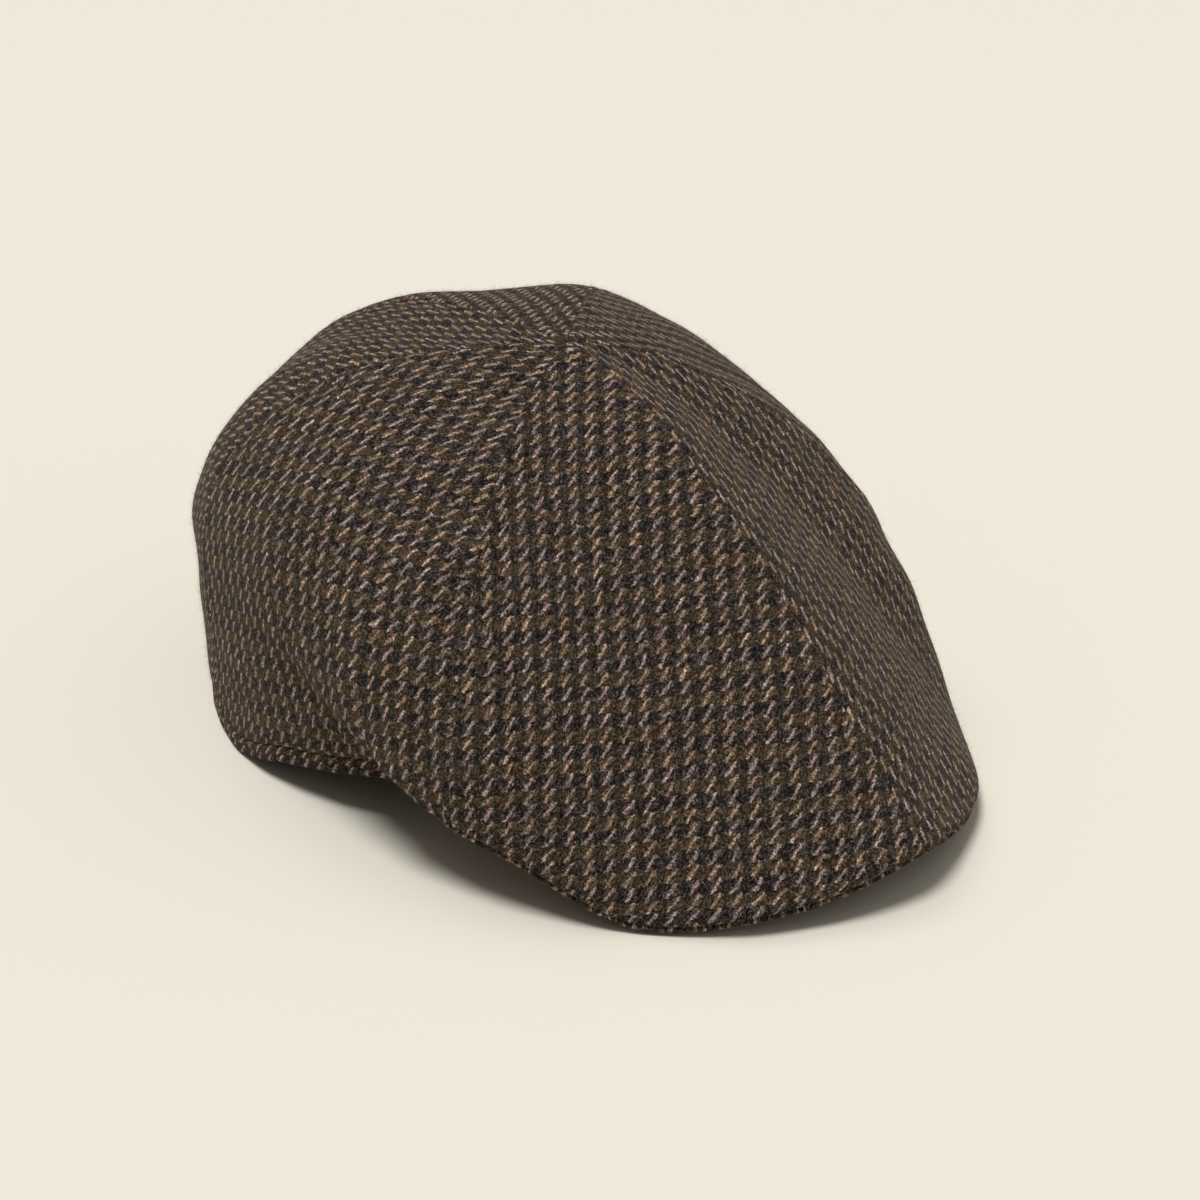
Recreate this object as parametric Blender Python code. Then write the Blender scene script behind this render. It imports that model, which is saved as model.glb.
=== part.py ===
"""Duckbill flat cap: six tweed gores over an arched peak, and a turned hem band.

Metres, +Z up. The cap faces -Y and its mirror plane is X = 0. The floor is Z = 0, and the origin
is on it under the middle of the cap.
"""
import math
from typing import NamedTuple

import bmesh
import bpy
import numpy as np

# Driving dimensions
CAP_LENGTH = 0.2625          # tip of the peak to the back of the crown
CAP_WIDTH = 0.1925           # across the crown at its widest
CROWN_HEIGHT = 0.122        # hub, where the six gores meet, above the floor
HUB_BEHIND_TIP = 0.139
WIDEST_BEHIND_TIP = 0.118
OUTLINE_POWER_FRONT = 1.86  # 2 is an ellipse, less is more pointed, more is squarer
OUTLINE_POWER_BACK = 2.47
HEAD_LENGTH = 0.1875         # head opening, front to back, over the hem band
HEAD_WIDTH = 0.181
HEAD_BEHIND_TIP = 0.1674     # middle of the head opening
HEM_RISE = 0.0213            # front of the hem above the floor, the back lies on it
CLOTH = 0.0018              # tweed wall
SEAM_GAP = 0.0003           # between neighbouring pieces
EDGE_TURN = 0.0020          # depth of the gore's edge turned down round the peak
EDGE_INSET = 0.0004         # how far that turned edge draws in
PEAK_THICKNESS = 0.0022     # stiff peak with its cloth cover
PEAK_CAMBER = 0.0030        # upward bow of the peak between its edge and the hem
BAND_HEIGHT = 0.0060
BAND_THICKNESS = 0.0030

# Where the seams and the root of the peak meet the outline, in degrees from the front
FRONT_SEAM = 73.5
BACK_SEAM = 122.0
ROOT_START = 79.0
ROOT_END = 90.0
INSET_START = 6.0           # before ROOT_START, where the peak's edge starts to draw in
INSET_FULL = 1.0            # before ROOT_START, where it is drawn in by the gore's wall
PEAK_END = 1.0              # before ROOT_END, where the peak stops

# How finely the solids are faceted
FRONT_COLUMNS = 12
SIDE_COLUMNS = 10
BACK_COLUMNS = 9
CROWN_ROWS = 14
WALL_ROWS = 6
PEAK_ROWS = 6
BAND_SEGMENTS = 72
HUB_SHARE = 0.012           # the gores start this share of the way out from the hub
CROWN_SPACING = 1.7         # above 1, the crown's rows lie closer together at the outline
WALL_SPACING = 1.3          # the same for the rows under it
PROBE_TURN = 0.4            # degrees either way, to find how a surface runs at a point
PROBE_WAY = 0.004           # share of the way either way, for the same
SHARP_ANGLE = 50.0          # degrees between faces that are shaded as an edge
MERGE_DISTANCE = 1e-6


SWING_FADE = 1.5            # how fast the gores' twist at the hub dies away towards the outline

# Base colours, linear
TWEED = (0.075, 0.062, 0.050)
PEAK_CLOTH = (0.065, 0.052, 0.042)
HEM_CLOTH = (0.085, 0.068, 0.058)
CLOTH_ROUGHNESS = 0.95


class Meridian(NamedTuple):
    """One line from the hub down to the outline, at an angle from the front."""

    angle: float
    edge_height: float      # height of the outline, as a share of CROWN_HEIGHT
    run_power: float        # how flat the crown stays near the hub
    drop_power: float       # how steeply it drops at the outline
    swing: float            # degrees that the line turns towards the back at the hub


MERIDIANS = (
    Meridian(0.0, 0.134, 1.72, 0.87, 0.0),
    Meridian(25.0, 0.078, 1.57, 0.93, 5.8),
    Meridian(45.0, 0.041, 1.44, 1.09, 9.7),
    Meridian(65.0, 0.166, 1.37, 1.60, 11.0),
    Meridian(85.0, 0.255, 1.32, 2.38, 12.6),
    Meridian(105.0, 0.489, 1.89, 2.38, 9.0),
    Meridian(130.0, 0.469, 3.36, 1.96, 0.0),
    Meridian(155.0, 0.422, 3.34, 1.41, 0.0),
    Meridian(180.0, 0.429, 3.95, 1.63, 0.0),
)


class HemPoint(NamedTuple):
    """Height of the hem band's lower edge at an angle round the head opening."""

    angle: float
    height: float           # share of HEM_RISE


HEM_LINE = (
    HemPoint(0.0, 1.000),
    HemPoint(40.0, 0.865),
    HemPoint(62.0, 0.745),
    HemPoint(85.0, 0.440),
    HemPoint(105.0, 0.030),
    HemPoint(122.0, 0.000),
    HemPoint(180.0, 0.000),
)


class WallFold(NamedTuple):
    """How the wall under the crown's bulge turns in to the hem."""

    angle: float
    tuck: float             # share of the way in that is made just under the bulge


WALL_FOLDS = (
    WallFold(0.0, 0.60),
    WallFold(90.0, 0.60),
    WallFold(110.0, 0.45),
    WallFold(135.0, 0.20),
    WallFold(180.0, 0.00),
)
TUCK_DEPTH = 0.30           # share of the wall's height in which the tuck is made


def read_rows(rows, column, angle):
    """Smooth reading of one column of a table at an angle, without overshoot."""
    xs = np.array([row.angle for row in rows])
    ys = np.array([getattr(row, column) for row in rows])
    steps = np.diff(xs)
    slopes = np.diff(ys) / steps
    tangents = np.zeros(len(xs))
    for i in range(1, len(xs) - 1):
        before, after = slopes[i - 1], slopes[i]
        if before * after > 0:
            tangents[i] = 2 * before * after / (before + after)
    at = min(abs(angle), xs[-1])
    i = min(int(np.searchsorted(xs, at, side="right")) - 1, len(xs) - 2)
    t = (at - xs[i]) / steps[i]
    near, far = ys[i], ys[i + 1]
    rise_near = tangents[i] * steps[i]
    rise_far = tangents[i + 1] * steps[i]
    return (near * (1 + 2 * t) * (1 - t) ** 2 + rise_near * t * (1 - t) ** 2
            + far * t * t * (3 - 2 * t) + rise_far * t * t * (t - 1))


def smooth_step(value):
    """Ease from 0 to 1."""
    t = min(max(value, 0.0), 1.0)
    return t * t * (3 - 2 * t)


def outline(angle):
    """Point of the cap's outline, seen from above, with the height of its edge."""
    turn = math.radians(angle)
    sine, cosine = math.sin(turn), math.cos(turn)
    power = OUTLINE_POWER_FRONT if cosine > 0 else OUTLINE_POWER_BACK
    reach = WIDEST_BEHIND_TIP if cosine > 0 else CAP_LENGTH - WIDEST_BEHIND_TIP
    x = math.copysign(abs(sine) ** (2 / power), sine) * CAP_WIDTH / 2
    y = WIDEST_BEHIND_TIP - math.copysign(abs(cosine) ** (2 / power), cosine) * reach
    z = read_rows(MERIDIANS, "edge_height", angle) * CROWN_HEIGHT
    return np.array([x, y - CAP_LENGTH / 2, z])


def hub():
    """Point where the six gores meet."""
    return np.array([0.0, HUB_BEHIND_TIP - CAP_LENGTH / 2, CROWN_HEIGHT])


def hem_angle(angle):
    """Angle round the head opening that lies under a point of the outline."""
    x, y, _ = outline(angle)
    across = x / (HEAD_WIDTH / 2)
    along = (HEAD_BEHIND_TIP - CAP_LENGTH / 2 - y) / (HEAD_LENGTH / 2)
    return math.degrees(math.atan2(across, along))


def hem_point(turn_angle, outward=0.0):
    """Point of the hem band's lower outer edge, moved outward by a distance."""
    turn = math.radians(turn_angle)
    x = (HEAD_WIDTH / 2 + outward) * math.sin(turn)
    y = HEAD_BEHIND_TIP - CAP_LENGTH / 2 - (HEAD_LENGTH / 2 + outward) * math.cos(turn)
    return np.array([x, y, read_rows(HEM_LINE, "height", turn_angle) * HEM_RISE])


def inward(angle):
    """Level unit direction into the cap, square to the outline."""
    step = outline(angle + PROBE_TURN) - outline(angle - PROBE_TURN)
    direction = np.array([-step[1], step[0], 0.0])
    return direction / np.linalg.norm(direction)


def root_share(angle):
    """0 where the gore ends at the peak's edge, 1 where it runs on to the hem."""
    return smooth_step((abs(angle) - ROOT_START) / (ROOT_END - ROOT_START))


def lower_end(angle):
    """Point where a gore's outer face ends: on the peak's edge or above the hem band."""
    edge = outline(angle)
    at_peak = edge + inward(angle) * EDGE_INSET - np.array([0, 0, EDGE_TURN])
    at_hem = hem_point(hem_angle(angle)) + np.array([0, 0, BAND_HEIGHT + SEAM_GAP])
    return at_peak + (at_hem - at_peak) * root_share(angle)


def crown_point(angle, share):
    """Point of the crown's outer face, a share of the way from the hub to the outline."""
    top = hub()
    edge = outline(angle)
    run = read_rows(MERIDIANS, "run_power", angle)
    drop = read_rows(MERIDIANS, "drop_power", angle)
    swing = math.radians(read_rows(MERIDIANS, "swing", angle)) * (1 - share) ** SWING_FADE
    swing = math.copysign(swing, angle)
    reach = (edge - top) * share
    x = reach[0] * math.cos(swing) - reach[1] * math.sin(swing)
    y = reach[0] * math.sin(swing) + reach[1] * math.cos(swing)
    height = max(1 - share ** run, 0.0) ** (1 / drop)
    return np.array([x, top[1] + y, edge[2] + (top[2] - edge[2]) * height])


def wall_point(angle, share):
    """Point of the outer face under the outline, a share of the way down to its lower end."""
    edge = outline(angle)
    end = lower_end(angle)
    tuck = read_rows(WALL_FOLDS, "tuck", angle) * root_share(angle)
    drawn_in = tuck * smooth_step(share / TUCK_DEPTH) + (1 - tuck) * share * share
    down = 1 - (1 - share) ** (1 + tuck)
    point = edge + (end - edge) * drawn_in
    point[2] = edge[2] + (end[2] - edge[2]) * down
    return point


def gore_point(angle, way):
    """Point of a gore's outer face: way 0 to 1 is the crown, 1 to 2 is under the outline."""
    if way <= 1:
        return crown_point(angle, max(way, 0.0))
    return wall_point(angle, min(way - 1, 1.0))


def gore_frame(angle, way):
    """Outward normal of the outer face, and its level direction round the cap."""
    around = gore_point(angle + PROBE_TURN, way) - gore_point(angle - PROBE_TURN, way)
    low, high = max(way - PROBE_WAY, HUB_SHARE / 2), min(way + PROBE_WAY, 2.0)
    down = gore_point(angle, high) - gore_point(angle, low)
    normal = np.cross(down, around)
    return normal / np.linalg.norm(normal), around / np.linalg.norm(around)


def make_material(name, colour):
    """Principled material of one piece."""
    material = bpy.data.materials.new(name)
    material.use_nodes = True
    shader = material.node_tree.nodes["Principled BSDF"]
    shader.inputs["Base Color"].default_value = (*colour, 1.0)
    shader.inputs["Roughness"].default_value = CLOTH_ROUGHNESS
    shader.inputs["Metallic"].default_value = 0.0
    return material


def finish_piece(name, mesh_data, material):
    """Turn a bmesh into a named object with outward faces and smooth shading."""
    bmesh.ops.recalc_face_normals(mesh_data, faces=mesh_data.faces)
    if mesh_data.calc_volume(signed=True) < 0:
        bmesh.ops.reverse_faces(mesh_data, faces=mesh_data.faces)
    mesh = bpy.data.meshes.new(name)
    mesh_data.to_mesh(mesh)
    mesh_data.free()
    mesh.materials.append(material)
    mesh.shade_smooth()
    mesh.set_sharp_from_angle(angle=math.radians(SHARP_ANGLE))
    piece = bpy.data.objects.new(name, mesh)
    bpy.context.scene.collection.objects.link(piece)
    return piece


def thick_sheet(columns, rows, outer_point, inner_point):
    """Closed sheet: a grid laid on the outer points, extruded and moved to the inner points.

    Both functions take the column's and the row's share, each from 0 to 1.
    """
    sheet = bmesh.new()
    bmesh.ops.create_grid(sheet, x_segments=columns, y_segments=rows, size=1.0)
    first = sheet.verts[:]
    made = bmesh.ops.extrude_face_region(sheet, geom=sheet.faces[:], use_keep_orig=True)
    second = [item for item in made["geom"] if isinstance(item, bmesh.types.BMVert)]
    for verts, place in ((first, outer_point), (second, inner_point)):
        for vert in verts:
            vert.co = place((vert.co.x + 1) / 2, (vert.co.y + 1) / 2)
    return sheet


def row_way(along):
    """Way down a gore for a row's share, with rows close together at the outline."""
    crown_share = CROWN_ROWS / (CROWN_ROWS + WALL_ROWS)
    if along <= crown_share + MERGE_DISTANCE:
        climb = 1 - (1 - min(along / crown_share, 1.0)) ** CROWN_SPACING
        return HUB_SHARE + (1 - HUB_SHARE) * climb
    return 1 + ((along - crown_share) / (1 - crown_share)) ** WALL_SPACING


def make_gore(name, side, start, end, columns, material):
    """One gore between two seams, on the side -1 or +1 of the mirror plane."""

    def place(across, along):
        angle = side * (start + (end - start) * across)
        way = row_way(along)
        normal, around = gore_frame(angle, way)
        point = gore_point(angle, way)
        if not MERGE_DISTANCE < across < 1 - MERGE_DISTANCE:
            into = side if across < 0.5 else -side
            point = point + around * into * SEAM_GAP / 2
        return point, normal

    def outer(across, along):
        return place(across, along)[0]

    def inner(across, along):
        point, normal = place(across, along)
        return point - normal * CLOTH

    sheet = thick_sheet(columns, CROWN_ROWS + WALL_ROWS, outer, inner)
    return finish_piece(name, sheet, material)


def peak_rim(angle):
    """Outer edge of the peak's top face, under the gores' turned edge."""
    share = root_share(angle)
    end = lower_end(angle)
    under = smooth_step((abs(angle) - ROOT_START + INSET_START) / (INSET_START - INSET_FULL))
    clear = (CLOTH + 2 * SEAM_GAP) * under * (1 - share) + 2 * SEAM_GAP * share
    rim = end + inward(angle) * clear
    rim[2] = end[2] - SEAM_GAP * (1 - share) + CLOTH * share
    return rim


def peak_top(angle, share):
    """Point of the peak's top face: a level ledge under the gore's edge, then up to the hem.

    The ledge ends at share 0, and a share below 0 is its outer edge.
    """
    rim = peak_rim(angle)
    if share < 0:
        return rim
    ledge = rim + inward(angle) * (CLOTH + 2 * SEAM_GAP) * (1 - root_share(angle))
    seat = hem_point(hem_angle(angle), SEAM_GAP)
    seat[2] += BAND_HEIGHT / 2 + PEAK_THICKNESS / 2
    point = ledge + (seat - ledge) * share
    width = np.linalg.norm((seat - ledge)[:2])
    bow = PEAK_CAMBER * min(width / (HEAD_BEHIND_TIP - HEAD_LENGTH / 2), 1.0)
    point[2] += bow * math.sin(math.pi * share)
    return point


def peak_angles():
    """Angles of the peak's columns: the same as the gores' over it, as far as the root."""
    front = np.linspace(0.0, FRONT_SEAM, FRONT_COLUMNS + 1)
    side = np.linspace(FRONT_SEAM, BACK_SEAM, SIDE_COLUMNS + 1)[1:]
    half = [*front, *side[side < ROOT_END - PEAK_END]]
    return [-angle for angle in reversed(half[1:])] + half


def make_peak(material):
    """Stiff arched peak, a crescent between the cap's edge and the head opening."""
    angles = peak_angles()
    columns = len(angles) - 1

    def top(across, along):
        row = round(along * PEAK_ROWS)
        return peak_top(angles[round(across * columns)], (row - 1) / (PEAK_ROWS - 1))

    def bottom(across, along):
        return top(across, along) - np.array([0, 0, PEAK_THICKNESS])

    sheet = thick_sheet(columns, PEAK_ROWS, top, bottom)
    return finish_piece("peak", sheet, material)


def make_hem_band(material):
    """Turned edge round the head opening: a grid wrapped round its section and round the head."""
    corners = ((0.0, 0.0), (0.0, BAND_HEIGHT), (-BAND_THICKNESS, BAND_HEIGHT), (-BAND_THICKNESS, 0.0))
    band = bmesh.new()
    bmesh.ops.create_grid(band, x_segments=BAND_SEGMENTS, y_segments=len(corners), size=1.0)
    for vert in band.verts:
        corner = round((vert.co.y + 1) / 2 * len(corners)) % len(corners)
        outward, height = corners[corner]
        place = hem_point(vert.co.x * 180, outward)
        vert.co = place + np.array([0, 0, height])
    bmesh.ops.remove_doubles(band, verts=band.verts, dist=MERGE_DISTANCE)
    return finish_piece("hem_band", band, material)


def clear_scene():
    """Remove whatever the open file holds."""
    for item in list(bpy.data.objects):
        bpy.data.objects.remove(item, do_unlink=True)


def build():
    """Make every piece of the cap."""
    clear_scene()
    spans = (
        ("front_gore", 0.0, FRONT_SEAM, FRONT_COLUMNS),
        ("side_gore", FRONT_SEAM, BACK_SEAM, SIDE_COLUMNS),
        ("back_gore", BACK_SEAM, 180.0, BACK_COLUMNS),
    )
    for side, hand in ((-1, "right"), (1, "left")):
        for label, start, end, columns in spans:
            name = f"{hand}_{label}"
            make_gore(name, side, start, end, columns, make_material(name, TWEED))
    make_peak(make_material("peak", PEAK_CLOTH))
    make_hem_band(make_material("hem_band", HEM_CLOTH))


build()
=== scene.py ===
"""Looks of a six-gore duckbill flat cap: tweed gores, covered peak, hem band and wool nap.

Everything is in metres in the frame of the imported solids: +Z up, the cap faces -Y.
"""

import logging
import math
from dataclasses import dataclass, field
from enum import Enum

import bmesh
import bpy
import numpy as np
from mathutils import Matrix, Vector

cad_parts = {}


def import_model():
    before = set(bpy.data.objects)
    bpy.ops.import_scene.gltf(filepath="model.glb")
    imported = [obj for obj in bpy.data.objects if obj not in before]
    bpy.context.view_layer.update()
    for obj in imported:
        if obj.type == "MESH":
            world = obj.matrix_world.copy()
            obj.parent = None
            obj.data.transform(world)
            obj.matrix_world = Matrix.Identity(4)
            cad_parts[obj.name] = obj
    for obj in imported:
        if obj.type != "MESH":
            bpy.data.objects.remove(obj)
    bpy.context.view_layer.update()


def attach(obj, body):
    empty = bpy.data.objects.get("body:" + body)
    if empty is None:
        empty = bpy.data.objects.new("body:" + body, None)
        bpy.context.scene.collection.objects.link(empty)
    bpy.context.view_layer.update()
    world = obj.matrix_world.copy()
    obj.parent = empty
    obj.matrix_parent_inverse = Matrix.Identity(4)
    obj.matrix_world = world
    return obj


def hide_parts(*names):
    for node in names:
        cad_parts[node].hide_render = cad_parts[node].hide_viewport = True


BODY = "root"
WEAVE_MAP = "cut_cloth"
SEAM_NAME = "seam_distance"
MILLIMETRE = 0.001
MERGE_DISTANCE = 1e-6
FAR_FROM_SEAM = 0.01
TINY = 1e-12
INSIDE = (0.0, 0.0, 0.03)
REPORT = logging.getLogger("cap")

Array = np.ndarray
Rows = tuple[tuple[float, ...], ...]
Triple = tuple[float, float, float]
Socket = bpy.types.NodeSocket


class Column(Enum):
    """Columns of the table of meridians, after the angle."""

    EDGE_HEIGHT = 1
    RUN_POWER = 2
    DROP_POWER = 3
    SWING = 4


def read_rows(rows: Rows, column: int, angle: Array) -> Array:
    """Read one column of a table smoothly, without overshoot.

    Args:
        rows: table whose first column is the angle from the front.
        column: which column to read.
        angle: angles in degrees, of either sign.

    Returns:
        The column's value at each angle.
    """
    table = np.array(rows, float)
    xs, ys = table[:, 0], table[:, column]
    steps = np.diff(xs)
    slopes = np.diff(ys) / steps
    product, total = slopes[:-1] * slopes[1:], slopes[:-1] + slopes[1:]
    tangents = np.zeros(len(xs))
    tangents[1:-1] = np.where(product > 0, 2 * product / np.where(total == 0, 1, total), 0)
    at = np.minimum(np.abs(angle), xs[-1])
    i = np.clip(np.searchsorted(xs, at, side="right") - 1, 0, len(xs) - 2)
    t = (at - xs[i]) / steps[i]
    return (ys[i] * (1 + 2 * t) * (1 - t) ** 2 + tangents[i] * steps[i] * t * (1 - t) ** 2
            + ys[i + 1] * t * t * (3 - 2 * t) + tangents[i + 1] * steps[i] * t * t * (t - 1))


def smooth_step(value: Array) -> Array:
    """Ease from 0 to 1."""
    t = np.clip(value, 0.0, 1.0)
    return t * t * (3 - 2 * t)


def signed_power(value: Array, power: float) -> Array:
    """Raise the size of a value to a power and keep its sign."""
    return np.sign(value) * np.abs(value) ** power


def unit(vectors: Array) -> Array:
    """Scale vectors to a length of one."""
    return vectors / np.maximum(np.linalg.norm(vectors, axis=-1, keepdims=True), TINY)


def lengths_along(points: Array, axis: int) -> Array:
    """Running length of each line of a grid of points.

    Args:
        points: rows by columns of 3-D points.
        axis: 0 to run down the rows, 1 to run across the columns.

    Returns:
        The length from the first point of each line, rows by columns.
    """
    steps = np.linalg.norm(np.diff(points, axis=axis), axis=-1)
    start = np.zeros_like(np.take(steps, [0], axis=axis))
    return np.concatenate([start, np.cumsum(steps, axis=axis)], axis=axis)


@dataclass(frozen=True)
class CapForm:
    """The cap's outer surface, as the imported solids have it."""

    length: float = 0.2625
    width: float = 0.1925
    height: float = 0.122
    hub_behind_tip: float = 0.139
    widest_behind_tip: float = 0.118
    power_front: float = 1.86
    power_back: float = 2.47
    head_length: float = 0.1875
    head_width: float = 0.181
    head_behind_tip: float = 0.1674
    hem_rise: float = 0.0213
    cloth: float = 0.0018
    gap: float = 0.0001
    edge_turn: float = 0.0020
    edge_inset: float = 0.0004
    peak_thickness: float = 0.0022
    peak_camber: float = 0.0030
    band_height: float = 0.0060
    band_thickness: float = 0.0030
    root_start: float = 79.0
    root_end: float = 90.0
    inset_start: float = 6.0
    inset_full: float = 1.0
    tuck_depth: float = 0.30
    swing_fade: float = 1.5
    meridians: Rows = (
        (0.0, 0.134, 1.72, 0.87, 0.0),
        (25.0, 0.078, 1.57, 0.93, 5.8),
        (45.0, 0.041, 1.44, 1.09, 9.7),
        (65.0, 0.166, 1.37, 1.60, 11.0),
        (85.0, 0.255, 1.32, 2.38, 12.6),
        (105.0, 0.489, 1.89, 2.38, 9.0),
        (130.0, 0.469, 3.36, 1.96, 0.0),
        (155.0, 0.422, 3.34, 1.41, 0.0),
        (180.0, 0.429, 3.95, 1.63, 0.0),
    )
    hem_line: Rows = (
        (0.0, 1.000), (40.0, 0.865), (62.0, 0.745), (85.0, 0.440),
        (105.0, 0.030), (122.0, 0.000), (180.0, 0.000),
    )
    wall_folds: Rows = ((0.0, 0.60), (90.0, 0.60), (110.0, 0.45), (135.0, 0.20), (180.0, 0.0))

    def read(self, column: Column, angle: Array) -> Array:
        """Read one column of the meridians."""
        return read_rows(self.meridians, column.value, angle)

    def outline(self, angle: Array) -> Array:
        """Points of the outline seen from above, with the height of its edge.

        Args:
            angle: degrees round from the front, plus on the wearer's left.

        Returns:
            The points, one for each angle.
        """
        sine, cosine = np.sin(np.radians(angle)), np.cos(np.radians(angle))
        power = np.where(cosine > 0, self.power_front, self.power_back)
        reach = np.where(cosine > 0, self.widest_behind_tip, self.length - self.widest_behind_tip)
        x = signed_power(sine, 2 / power) * self.width / 2
        y = self.widest_behind_tip - signed_power(cosine, 2 / power) * reach - self.length / 2
        return np.stack([x, y, self.read(Column.EDGE_HEIGHT, angle) * self.height], -1)

    def inward(self, angle: Array, step: float = 0.4) -> Array:
        """Level unit directions into the cap, square to the outline."""
        along = self.outline(angle + step) - self.outline(angle - step)
        return unit(np.stack([-along[..., 1], along[..., 0], np.zeros_like(along[..., 0])], -1))

    def hem_angle(self, angle: Array) -> Array:
        """Angle round the head opening under a point of the outline.

        Args:
            angle: degrees round from the front, plus on the wearer's left.

        Returns:
            Degrees round the head opening, from its front.
        """
        edge = self.outline(angle)
        across = edge[..., 0] / (self.head_width / 2)
        along = (self.head_behind_tip - self.length / 2 - edge[..., 1]) / (self.head_length / 2)
        return np.degrees(np.arctan2(across, along))

    def hem_point(self, turn: Array, outward: Array = 0.0) -> Array:
        """Points of the hem band's lower outer edge, moved outward by a distance.

        Args:
            turn: degrees round the head opening.
            outward: distance that they move.

        Returns:
            The points, one for each turn.
        """
        angle = np.radians(turn)
        x = (self.head_width / 2 + outward) * np.sin(angle)
        back = (self.head_length / 2 + outward) * np.cos(angle)
        y = self.head_behind_tip - self.length / 2 - back
        return np.stack([x, y, read_rows(self.hem_line, 1, turn) * self.hem_rise + 0 * x], -1)

    def root_share(self, angle: Array) -> Array:
        """0 where a gore ends at the peak's edge, 1 where it runs on to the hem."""
        return smooth_step((np.abs(angle) - self.root_start) / (self.root_end - self.root_start))

    def lower_end(self, angle: Array) -> Array:
        """Points where the outer face ends: on the peak's edge or above the hem band.

        Args:
            angle: degrees round from the front, plus on the wearer's left.

        Returns:
            The points, one for each angle.
        """
        at_peak = self.outline(angle) + self.inward(angle) * self.edge_inset
        at_peak = at_peak - np.array([0, 0, self.edge_turn])
        at_hem = self.hem_point(self.hem_angle(angle))
        at_hem = at_hem + np.array([0, 0, self.band_height + self.gap])
        return at_peak + (at_hem - at_peak) * self.root_share(angle)[..., None]

    def crown(self, angle: Array, share: Array) -> Array:
        """Points of the crown, a share of the way from the hub to the outline.

        Args:
            angle: degrees round from the front, plus on the wearer's left.
            share: 0 at the hub and 1 on the outline.

        Returns:
            The points, one for each angle.
        """
        edge = self.outline(angle)
        top = np.array([0.0, self.hub_behind_tip - self.length / 2, self.height])
        swing = np.radians(self.read(Column.SWING, angle)) * (1 - share) ** self.swing_fade
        swing = swing * np.sign(angle)
        reach = (edge - top) * share[..., None]
        x = reach[..., 0] * np.cos(swing) - reach[..., 1] * np.sin(swing)
        y = reach[..., 0] * np.sin(swing) + reach[..., 1] * np.cos(swing)
        run, drop = self.read(Column.RUN_POWER, angle), self.read(Column.DROP_POWER, angle)
        rise = np.maximum(1 - share ** run, 0.0) ** (1 / drop)
        return np.stack([x, top[1] + y, edge[..., 2] + (top[2] - edge[..., 2]) * rise], -1)

    def wall(self, angle: Array, share: Array) -> Array:
        """Points under the outline, a share of the way down to the lower end.

        Args:
            angle: degrees round from the front, plus on the wearer's left.
            share: 0 on the outline and 1 at the lower end.

        Returns:
            The points, one for each angle.
        """
        edge, end = self.outline(angle), self.lower_end(angle)
        tuck = read_rows(self.wall_folds, 1, angle) * self.root_share(angle)
        drawn_in = tuck * smooth_step(share / self.tuck_depth) + (1 - tuck) * share * share
        points = edge + (end - edge) * drawn_in[..., None]
        down = 1 - (1 - share) ** (1 + tuck)
        points[..., 2] = edge[..., 2] + (end[..., 2] - edge[..., 2]) * down
        return points

    def surface(self, angle: Array, way: Array) -> Array:
        """Points of the outer face: way 0 to 1 is the crown, 1 to 2 is under the outline.

        Args:
            angle: degrees round from the front, plus on the wearer's left.
            way: how far down from the hub.

        Returns:
            The points, one for each angle.
        """
        crown = self.crown(angle, np.clip(way, 0.0, 1.0))
        wall = self.wall(angle, np.clip(way - 1, 0.0, 1.0))
        return np.where(way[..., None] <= 1, crown, wall)

    def peak_rim(self, angle: Array) -> Array:
        """Outer edge of the peak's top face, under the gores' turned edge.

        Args:
            angle: degrees round from the front, plus on the wearer's left.

        Returns:
            The points, one for each angle.
        """
        share = self.root_share(angle)
        under = smooth_step((np.abs(angle) - self.root_start + self.inset_start)
                            / (self.inset_start - self.inset_full))
        clear = (self.cloth + 2 * self.gap) * under * (1 - share) + 2 * self.gap * share
        rim = self.lower_end(angle) + self.inward(angle) * clear[..., None]
        rim[..., 2] += self.cloth * share - self.gap * (1 - share)
        return rim

    def peak_top(self, angle: Array, share: Array) -> Array:
        """Points of the peak's top face, from the end of its ledge at 0 to the hem at 1.

        Args:
            angle: degrees round from the front, plus on the wearer's left.
            share: share of the way to the hem.

        Returns:
            The points, one for each angle.
        """
        rim, root = self.peak_rim(angle), self.root_share(angle)
        ledge = rim + self.inward(angle) * ((self.cloth + 2 * self.gap) * (1 - root))[..., None]
        seat = self.hem_point(self.hem_angle(angle), self.gap)
        seat[..., 2] += self.band_height / 2 + self.peak_thickness / 2
        points = ledge + (seat - ledge) * share[..., None]
        wide = np.linalg.norm((seat - ledge)[..., :2], axis=-1)
        full = self.head_behind_tip - self.head_length / 2
        bow = self.peak_camber * np.minimum(wide / full, 1.0)
        points[..., 2] += bow * np.sin(math.pi * share)
        return points


@dataclass(frozen=True)
class SoftSwell:
    """Gentle unevenness of soft cloth, as a sum of slow waves through space."""

    depth: float = 0.00034
    shortest: float = 0.022
    longest: float = 0.060
    waves: int = 14
    seed: int = 5

    def at(self, points: Array) -> Array:
        """Height of the swell at each point.

        Args:
            points: places on the cloth.

        Returns:
            The heights above the plain cloth.
        """
        rng = np.random.default_rng(self.seed)
        total = np.zeros(points.shape[:-1])
        for _ in range(self.waves):
            heading = rng.normal(size=3)
            heading /= np.linalg.norm(heading)
            wavelength = rng.uniform(self.shortest, self.longest)
            phase = rng.uniform(0, 2 * math.pi)
            total += np.sin(points @ heading * 2 * math.pi / wavelength + phase)
        return total * self.depth / math.sqrt(self.waves / 2)


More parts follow.
